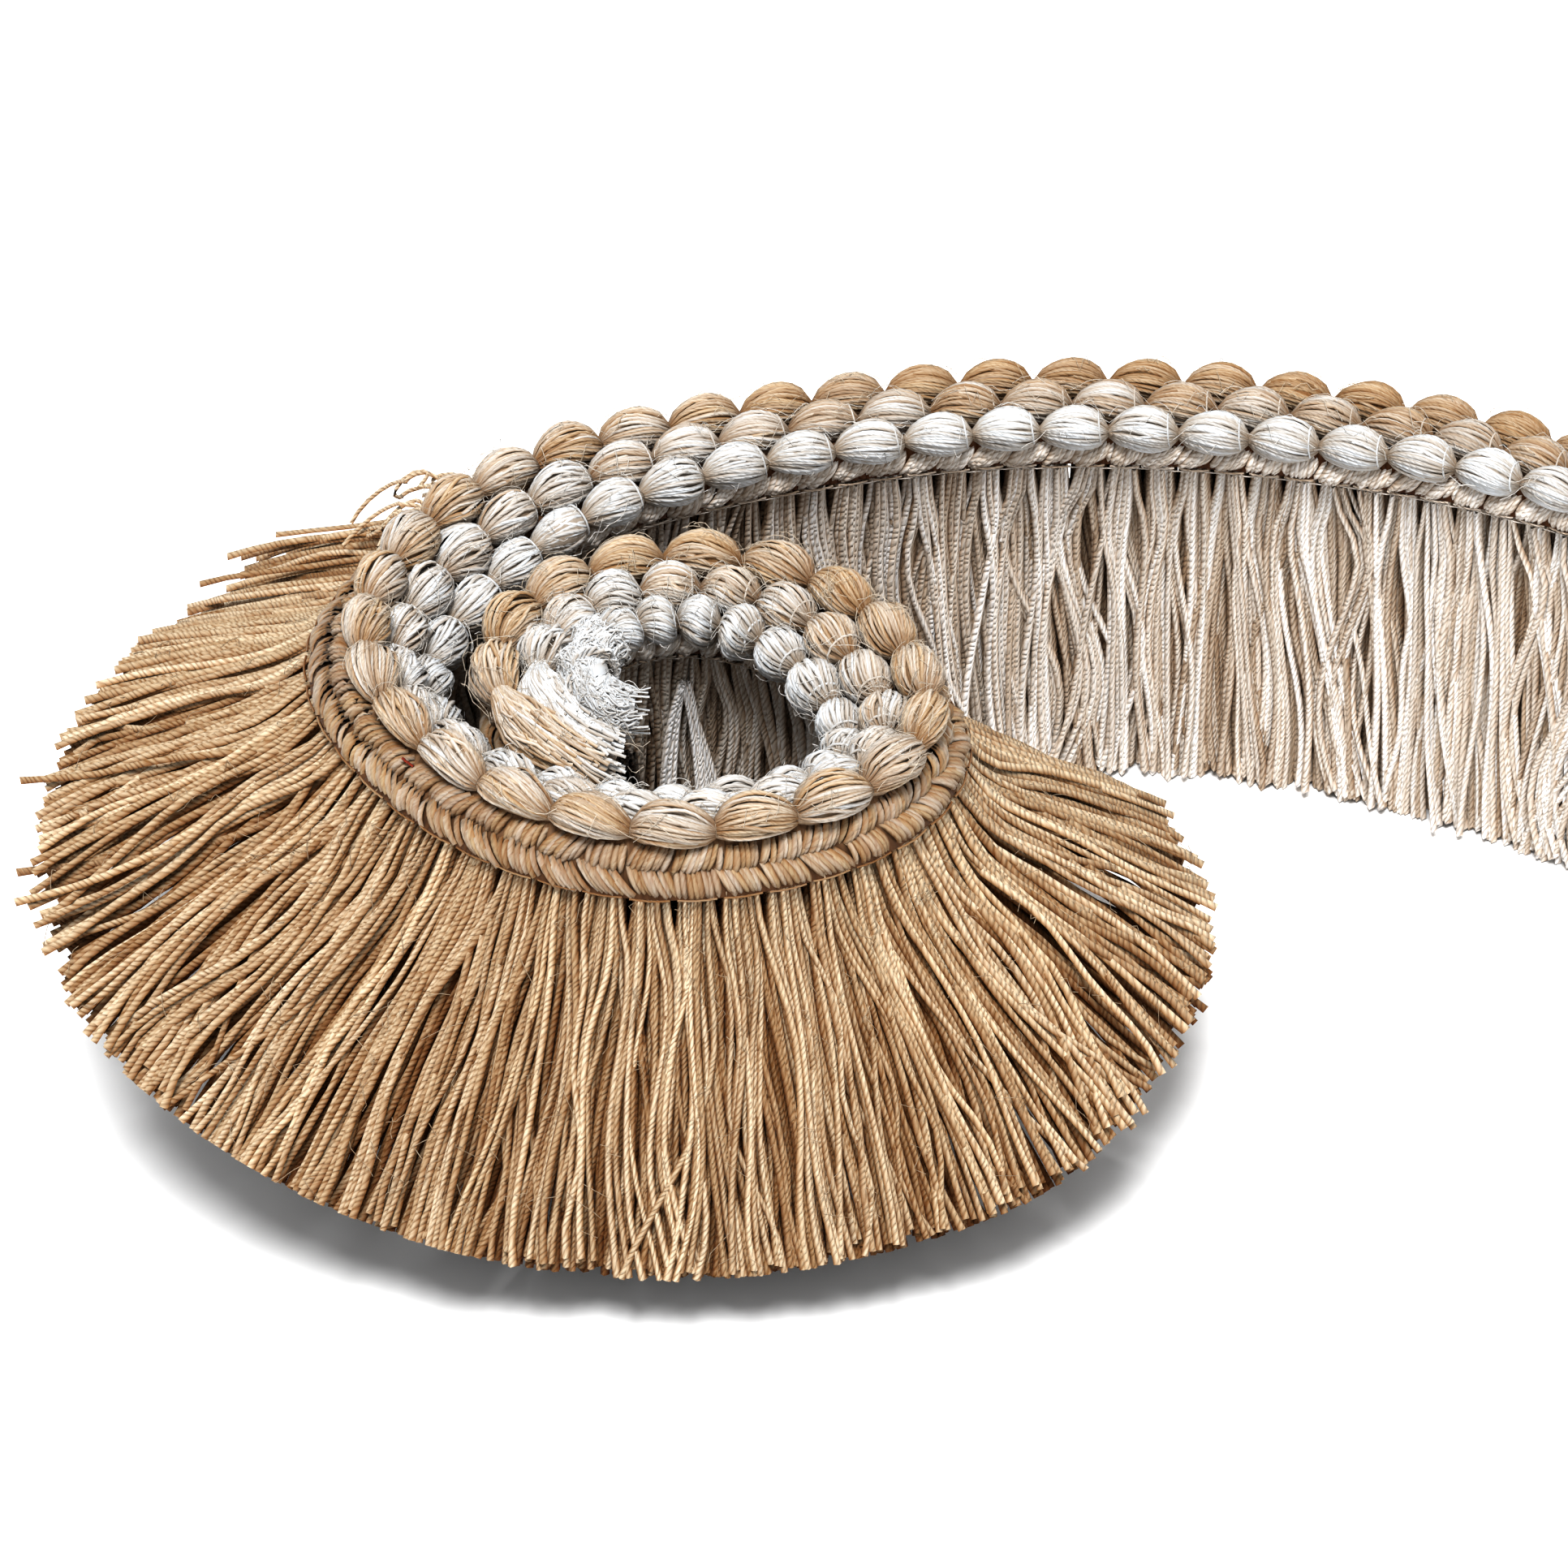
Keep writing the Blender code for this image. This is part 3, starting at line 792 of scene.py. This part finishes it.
def fringe_fuzz(layer, look, first, last, count):
    """Fine loose fibres over the visible face of a layer."""
    strands = Strands()
    part = shares(5)
    puffs = spread(first, last, count) + scatter(0.12, count) * part
    share = spread(0.02, 0.95, count) + spread(0.02, 0.1, count) * part
    puffs = puffs + scatter(0.04, count) * swing(part)
    share = share * read_table(look["reach"], puffs)
    spots, normal, thick = layer.read(puffs, np.minimum(share, 1.0))
    lift = read_table(look["lift"], puffs) * np.minimum(share, 1) ** 1.4
    offset = layer.side * (LAYER_DEPTH / MM + spread(0.1, 0.9, count) * np.sin(np.pi * part)) + 0.6 * lift
    paths = spots + normal * (offset * MM * thick)[..., None]
    paths[..., 2] = np.maximum(paths[..., 2], 0.1 * MM)
    tint = tints(count, (1.0, 1.15), 1.0)
    strands.add(paths, spread(0.04, 0.055, count) * MM, UP, 3, tint)
    return strands


def loose_path(heading, row, place, swell, angle, sink, aside=0.0):
    """World points round the middle of a row's loose end, swell times as far out as a puff's side."""
    across = row * ROW_STEP + aside + LOOSE_PUFF_HALF_WIDTH * swell * np.cos(angle)
    drop = sink + LOOSE_PUFF_HALF_HEIGHT * swell * np.sin(angle)
    return heading.section(place, across, drop)


def frayed_tuft(heading, row, first, last, count, share, turned):
    """The loose end of a row: strands that leave the last pinch, spread out and sink as they go. turned is
    how far they turn outward."""
    strands = Strands()
    fall = 4.5 * MM - 0.4 * turned
    part = shares(9)
    stop = first + (last - first) * spread(0.5, 1.0, count)
    place = first + (stop - first) * part
    gone = (place - first) / (last - first)
    angle = np.radians(spread(120, 420, count)) + (0.3 + scatter(0.25, count)) * part
    angle = angle + scatter(0.18, count) * part * swing(part, spread(0.5, 1.6, count))
    full = spread(0.75, 1.1, count)
    curl = 0.13 * part * np.sin(TURN * part * spread(0.8, 1.8, count) + spread(0, TURN, count))
    swell = 0.35 + (full - 0.35) * smooth_step(gone / 0.4) + curl
    paths = loose_path(heading, row, place, swell, angle, 0.4 * MM + fall * gone**2, turned * gone)
    tint = tints(count, (0.82, 1.14))
    tint[:, 1] = np.clip(share + rng.normal(0, 0.3 * (1 - abs(2 * share - 1)), count), 0, 1)
    strands.add(paths, 0.21 * MM * spread(0.8, 1.2, count), UP, 3, tint)
    core = np.linspace(first - 0.1, last - 0.4, 10)
    gone = np.clip((core - first) / (last - first), 0, 1)
    path = loose_path(heading, row, core, 0.0, 0.0, 0.6 * MM + fall * gone**2, turned * gone)[None]
    thick = (0.35 + 0.4 * smooth_step(gone / 0.4)) * (1 - 0.6 * smooth_step((gone - 0.55) / 0.3))
    strands.add(path, LOOSE_PUFF_HALF_HEIGHT * thick[None], UP, 8, tints(1, (0.86, 0.9), share))
    return strands


def downy_mass(heading, row, first, last, count, share):
    """Fine loose strands lying every way over the squashed puffs at the inner end."""
    strands = Strands()
    part = shares(8)
    start = spread(first, last, count)
    stop = last + spread(-0.9, 0.25, count)
    run = np.clip(scatter(1.0, count), first - 0.2 - start, stop - start)
    run = np.where(np.abs(run) < 0.2, -0.4, run)
    place = start + run * part
    angle = np.radians(spread(130, 410, count)) + scatter(0.35, count) * part
    angle = angle + scatter(0.1, count) * swing(part, spread(0.5, 1.5, count))
    lump = 1 + 0.1 * np.sin(TURN * place * 0.9)
    out = spread(0.9, 1.08, count) + 0.05 * np.sin(TURN * part + spread(0, TURN, count))
    sink = 0.3 * MM + 1.5 * MM * smooth_step((place - last + 1.2) / 1.2)
    paths = loose_path(heading, row, place, lump * out, angle, sink)
    tint = tints(count, (0.94, 1.1), share)
    strands.add(paths, 0.14 * MM * spread(0.7, 1.2, count), UP, 3, tint)
    core = np.linspace(first - 0.2, last, int((last - first) * 5) + 2)
    sink = 0.3 * MM + 1.3 * MM * smooth_step((core - last + 1.2) / 1.2)
    path = loose_path(heading, row, core, 0.0, 0.0, sink)[None]
    thick = 0.88 * np.sin(np.pi * (core - core[0]) / (core[-1] - core[0]) * 0.86 + 0.22) ** 0.4
    strands.add(path, LOOSE_PUFF_HALF_HEIGHT * thick[None], UP, 10, tints(1, (0.98, 1.0), share))
    return strands


def block_strands(heading, side, top, foot, lean, per_block=8):
    """A row of woven blocks, two to a puff, each of a few strands side by side. No two blocks are alike."""
    strands = Strands()
    part = np.linspace(0.0, 1.0, 6)
    arch = np.sin(np.pi * part)[None]
    for cell in range(2 * heading.puffs - 1):
        place = (np.arange(per_block) + 0.5 + rng.uniform(-0.3, 0.3, per_block)) / per_block
        margin = rng.uniform(0.02, 0.07)
        start = (cell + margin + (1 - 2 * margin) * place) / 2
        tilt = lean * rng.uniform(0.3, 1.7) + scatter(0.25, per_block)
        puffs = start[:, None] + tilt * 0.5 * (part - 0.5)[None] / per_block
        shift = rng.normal(0, 0.16) * MM
        drop = (top + (foot - top) * part)[None] + shift + scatter(0.15 * MM, per_block)
        face = BAND_HALF_TOP + (BAND_HALF_FOOT - BAND_HALF_TOP) * (drop - BAND_TOP) / (OUTER_DROP - BAND_TOP)
        lump = rng.normal(0, 0.12) + scatter(0.1, per_block) - 0.8 * (2 * place[:, None] - 1) ** 2
        bulge = (arch**0.7 - 0.5 + lump) * MM
        paths = heading.section(puffs, side * (face + bulge), drop)
        _, outward, _ = heading.read(puffs)
        radius = THREE_SIDED * 0.48 * MM * spread(0.85, 1.15, per_block) * (0.8 + 0.2 * arch)
        tint = tints(per_block, (0.92, 1.1), 0.45 if side < 0 else 0.12, 0.3)
        tint[:, 0] *= rng.uniform(0.92, 1.05)
        strands.add(paths, radius, outward * side, 3, tint, 0.65)
    return strands


def binder(strands, heading, side, drop, out, radius, share):
    """Short stretches of a strand laid along the band, one to a block."""
    part = np.linspace(0.0, 1.0, 5)
    for cell in range(2 * heading.puffs - 1):
        puffs = (cell + 0.08 + 0.84 * part) / 2
        drops = drop + rng.normal(0, 0.05 * MM) + 0.08 * MM * np.sin(np.pi * part)
        across = side * (out + 0.2 * MM * np.sin(np.pi * part))
        path = heading.section(puffs, across, drops)[None]
        _, outward, _ = heading.read(puffs)
        tint = tints(1, (0.7, 0.95), share, 0.2)
        strands.add(path, radius * rng.uniform(0.85, 1.1), outward[None] * side, 4, tint)


def thread(strands, heading, side, drop, out, radius, wobble, tint, first=0.0, last=None):
    """A fine thread along one face of the band."""
    last = heading.puffs if last is None else last
    puffs = np.linspace(first, last, max(8, int((last - first) * 8)))
    drops = drop + wobble * np.sin(puffs * TURN * 1.03) + rng.normal(0, wobble * 0.3, len(puffs))
    across = side * (out + 0.1 * MM * np.cos(puffs * TURN * 2))
    paths = heading.section(puffs, across, drops)[None]
    _, outward, _ = heading.read(puffs)
    strands.add(paths, radius, outward[None] * side, 4, tint)


def band_core(heading):
    """The band's own body, coloured dark between the blocks as painted shade."""
    puffs = np.linspace(0.05, heading.puffs - 0.5, 4 * heading.puffs + 1)
    half_top, half_foot = BAND_HALF_TOP - 0.9 * MM, BAND_HALF_FOOT - 1.0 * MM
    offsets = (
        (half_top, BAND_TOP - 1.6 * MM),
        (half_foot, OUTER_DROP - 0.1 * MM),
        (-half_foot, INNER_DROP - 0.1 * MM),
        (-half_top, BAND_TOP - 1.6 * MM),
    )
    rings = np.stack([heading.section(puffs, across, drop) for across, drop in offsets], axis=1)
    strands = Strands()
    strands.groups.append((rings[None], distance(rings[:, 0])[None], tints(1, (0.9, 1.0))))
    return strands


def curly_strays(layer):
    """Loose curly yarns that stand up from the outer fringe at the back left of the coil."""
    strands = Strands()
    count = 22
    part = shares(18)
    wide = spread(0.04, 0.14, count)
    turns = spread(1.2, 2.6, count)
    start = spread(0, TURN, count)
    puffs = spread(16.6, 18.2, count) + spread(0, 0.5, count) * part
    puffs = puffs + wide * np.sin(start + TURN * turns * part)
    share = spread(0.02, 0.12, count) + spread(0.2, 0.45, count) * part
    share = np.maximum(share + 0.25 * wide * np.cos(start + TURN * turns * part), 0.0)
    spots, normal, _ = layer.read(puffs, share)
    lift = read_table(OUTER_LIFT, puffs) * share**0.75 + spread(2.0, 6.0, count) * np.sin(np.pi * part**0.7)
    paths = spots + normal * (LAYER_DEPTH + lift * MM)[..., None]
    strands.add(paths, 0.32 * MM, UP, 3, tints(count, (1.0, 1.12), 0.9, 0.2))
    return strands


def hollow_strands(layer):
    """Bright strands in front of the hollow's back wall, parted in two from one bunch."""
    strands = Strands()
    count = 16
    part = shares(14)
    leg = np.where(np.arange(count) < count / 2, 0.85, -0.9) * rng.uniform(0.35, 1.15, count)
    puffs = 36.85 + scatter(0.05, count) + leg[:, None] * part**0.8
    puffs = puffs + scatter(0.03, count) * swing(part)
    spots, normal, _ = layer.read(puffs, 0.08 + 0.6 * part + np.zeros((count, 1)))
    offset = LAYER_DEPTH + (spread(0.2, 1.0, count) + 3.0 * part) * MM
    paths = spots - normal * offset[..., None]
    strands.add(paths, 0.36 * MM, -normal, 3, tints(count, (1.05, 1.2), 1.0))
    return strands


def build_puffs(heading, yarn, fuzz):
    rows = (
        ("tan", 1, 0.0, TAN_ROW_SHARE, 41.0),
        ("mixed", 0, -0.5, MIXED_ROW_SHARE, 40.5),
        ("white", -1, 0.0, WHITE_ROW_SHARE, 42.0),
    )
    wraps = Strands()
    for name, *row in rows:
        slot = f"{name}_yarn"
        piece(f"puffs_{name}", puff_strands(heading, *row), yarn, slot, f"puff_row_{name}")
        piece(f"puff_cores_{name}", puff_cores(heading, *row), yarn, slot)
        if name != "tan":
            pinch_wraps(wraps, heading, *row)
    piece("puff_wraps", wraps, yarn, "white_yarn")
    piece("puff_fuzz", puff_fuzz(heading, [row[1:4] for row in rows]), fuzz, "mixed_yarn")
    end = frayed_tuft(heading, 1, 40.8, 42.7, 380, 0.35, 0.0)
    end.groups += frayed_tuft(heading, 0, 40.3, 42.8, 420, 0.93, 3.2 * MM).groups
    piece("frayed_end", end, yarn, "mixed_yarn")
    piece("squashed_puffs", downy_mass(heading, -1, 39.3, 42.9, 1300, 1.0), yarn, "white_yarn")


def build_band(heading, tan, pale):
    body = yarn_material("band_body_painted_shade", *zip(BODY_SHADE, BODY_SHADE), 2.0, (TAN_FLANK_SHADE, TAN_FLANK_SHADE))
    red = yarn_material("red_thread", *zip(RED, RED), 2.0, (TAN_FLANK_SHADE, TAN_FLANK_SHADE))
    piece("band_body_painted_shade", band_core(heading), body, "woven_band", "heading_band")
    blocks = block_strands(heading, 1, 2.9 * MM, 5.9 * MM, -2.0)
    blocks.groups += block_strands(heading, 1, 5.7 * MM, 8.8 * MM, 2.6).groups
    binder(blocks, heading, 1, 9.1 * MM, BAND_HALF_FOOT - 0.3 * MM, 0.15 * MM, 0.0)
    piece("band_blocks_outer", blocks, tan, "woven_band")
    blocks = block_strands(heading, -1, 3.0 * MM, 6.0 * MM, 2.9)
    binder(blocks, heading, -1, 6.05 * MM, 6.1 * MM, 0.16 * MM, 0.5)
    thread(blocks, heading, -1, 6.4 * MM, 6.1 * MM, 0.09 * MM, 0.06 * MM, tints(1, (0.9, 1.0), 0.5))
    piece("band_blocks_inner", blocks, pale, "woven_band")
    stitch = Strands()
    thread(stitch, heading, 1, 4.2 * MM, 6.3 * MM, 0.2 * MM, 0.3 * MM, tints(1), 23.9, 24.1)
    piece("red_stitch", stitch, red, "woven_band")


def build_fringe(heading, tan, pale):
    outer, inner = Layer(heading, 1), Layer(heading, -1)
    cells = 2 * heading.puffs
    tan_look = {
        "drift": 1.0, "own_drift": 0.6, "strays": 0.14, "wave": 0.5, "bunching": 0.26, "sag": 3.0,
        "lean": OUTER_LEAN, "lift": OUTER_LIFT, "reach": OUTER_REACH, "longest": 1.02,
        "radius": FRINGE_RADIUS, "share": tan_share,
    }
    pale_look = {
        "drift": 2.6, "own_drift": 1.0, "strays": 0.25, "wave": 1.6, "bunching": 0.32, "sag": 0.0,
        "lean": INNER_LEAN, "lift": INNER_LIFT, "reach": INNER_REACH, "longest": 1.0,
        "radius": FRINGE_RADIUS * 1.05, "share": pale_share,
    }
    # Painted shade: the hollow's yarns are browner
    hollow_shade_look = {**pale_look, "share": hollow_shade_share}
    outer_clumps = [Clumps(cells, 0.5, 1.2) for _ in range(5)]
    inner_clumps = [Clumps(cells, 0.5, 1.3) for _ in range(5)]
    # Each piece's name, look, first and last arc, depths, yarns in a row of one cell, and points of a yarn
    plans = (
        ("outer_fringe_tail", tan_look, 1, 3, 4, 6, 10),
        ("outer_fringe_left", tan_look, 4, 8, 5, 9, 13),
        ("outer_fringe_front", tan_look, 9, 13, 5, 9, 13),
        ("outer_fringe_inside", tan_look, 14, 16, 4, 5, 9),
        ("inner_fringe_tail", pale_look, 1, 4, 5, 9, 13),
        ("inner_fringe_coil", pale_look, 5, 11, 4, 5, 8),
        ("inner_fringe_hollow", hollow_shade_look, 12, 16, 4, 8, 11),
    )
    for name, look, first, last, depths, per_row, points in plans:
        nodes = name.rsplit("_", 1)[0]
        layer, clumps, yarn = (outer, outer_clumps, tan) if look is tan_look else (inner, inner_clumps, pale)
        replaced = [f"{nodes}_{arc:02d}" for arc in range(first, last + 1)]
        first_cell = sum(ARC_CELLS[: first - 1])
        count = sum(ARC_CELLS[first - 1 : last])
        yarns = fringe_yarns(layer, clumps[:depths], first_cell, count, per_row, points, look)
        piece(name, yarns, yarn, f"{nodes}_yarn", *replaced)
    piece("outer_fringe_fuzz", fringe_fuzz(outer, tan_look, 15, 36, 450), tan, "outer_fringe_yarn")
    piece("curly_strays", curly_strays(outer), tan, "outer_fringe_yarn")
    piece("hollow_strands", hollow_strands(inner), pale, "inner_fringe_yarn")


def build_object(heading):
    puff = {"groove": (PUFF_FLANK_SHADE, WHITE_FLANK_SHADE), "twist": (0.05, 0.3), "bump": 0.06}
    puff_yarn = yarn_material("tan_puff_yarn", *zip(PUFF_TAN, WHITE), 2.4, **puff)
    band_yarn = yarn_material("band_yarn", *zip(BAND_TAN, WHITE), 2.4, **puff)
    fuzz = yarn_material("loose_fibre", FUZZ, FUZZ, 2.0, (FUZZ_FLANK_SHADE, FUZZ_FLANK_SHADE))
    groove = (TAN_FLANK_SHADE, TAN_FLANK_SHADE)
    tan = yarn_material("tan_fringe_yarn", *zip(DEEP_TAN, TAN), 1.8, groove, (0.25, 0.6))
    colours = zip(GREIGE, FRINGE_WHITE)
    groove = (GREIGE_FLANK_SHADE, WHITE_FLANK_SHADE)
    pale = yarn_material("pale_fringe_yarn", *colours, 2.0, groove, (0.3, 0.9), sheen=0.15, shine=0.3)
    build_puffs(heading, puff_yarn, fuzz)
    build_band(heading, band_yarn, pale)
    build_fringe(heading, tan, pale)


def make_floor():
    size = FLOOR_HALF_SIZE
    corners = [(-size, -size, 0), (size, -size, 0), (size, size, 0), (-size, size, 0)]
    data = bpy.data.meshes.new("floor")
    data.from_pydata(corners, [], [(0, 1, 2, 3)])
    floor = put("floor", data)
    material = bpy.data.materials.new("floor_paper")
    tree = NodeTree(material)
    fill(tree.shader, {"Base Color": (*FLOOR, 1.0), "Roughness": 0.9, "Specular IOR Level": 0.1})
    data.materials.append(material)


def make_light():
    scene = bpy.context.scene
    world = bpy.data.worlds.new("studio")
    world.use_nodes = True
    back = world.node_tree.nodes["Background"]
    back.inputs[0].default_value = (1.0, 1.0, 1.0, 1.0)
    back.inputs[1].default_value = WORLD_STRENGTH
    scene.world = world
    lamp = bpy.data.lights.new("window", "SUN")
    lamp.energy = WINDOW_STRENGTH
    lamp.angle = WINDOW_SPREAD
    put("window", lamp).rotation_euler = WINDOW_TILT
    scene.view_settings.view_transform = "Standard"
    scene.view_settings.exposure = EXPOSURE
    scene.view_settings.gamma = GAMMA


def make_camera():
    lens = bpy.data.cameras.new("camera")
    lens.sensor_width = SENSOR_MM
    lens.sensor_fit = "HORIZONTAL"
    lens.lens = FOCAL_PIXELS / PHOTO_PIXELS * SENSOR_MM
    lens.clip_start = 0.01
    lens.clip_end = 20.0
    camera = put("camera", lens)
    back = np.array([0.0, -math.cos(CAMERA_ELEVATION), math.sin(CAMERA_ELEVATION)])
    camera.location = CAMERA_LOOK + CAMERA_DISTANCE * back
    camera.rotation_euler = (math.pi / 2 - CAMERA_ELEVATION, 0.0, 0.0)
    bpy.context.scene.camera = camera


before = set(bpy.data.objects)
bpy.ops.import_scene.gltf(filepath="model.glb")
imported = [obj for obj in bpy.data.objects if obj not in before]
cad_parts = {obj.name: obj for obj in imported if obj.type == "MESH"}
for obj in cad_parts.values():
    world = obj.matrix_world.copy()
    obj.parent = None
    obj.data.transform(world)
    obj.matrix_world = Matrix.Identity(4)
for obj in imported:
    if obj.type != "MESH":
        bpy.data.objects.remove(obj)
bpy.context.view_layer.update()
make_camera()
make_light()
make_floor()
build_object(Heading())
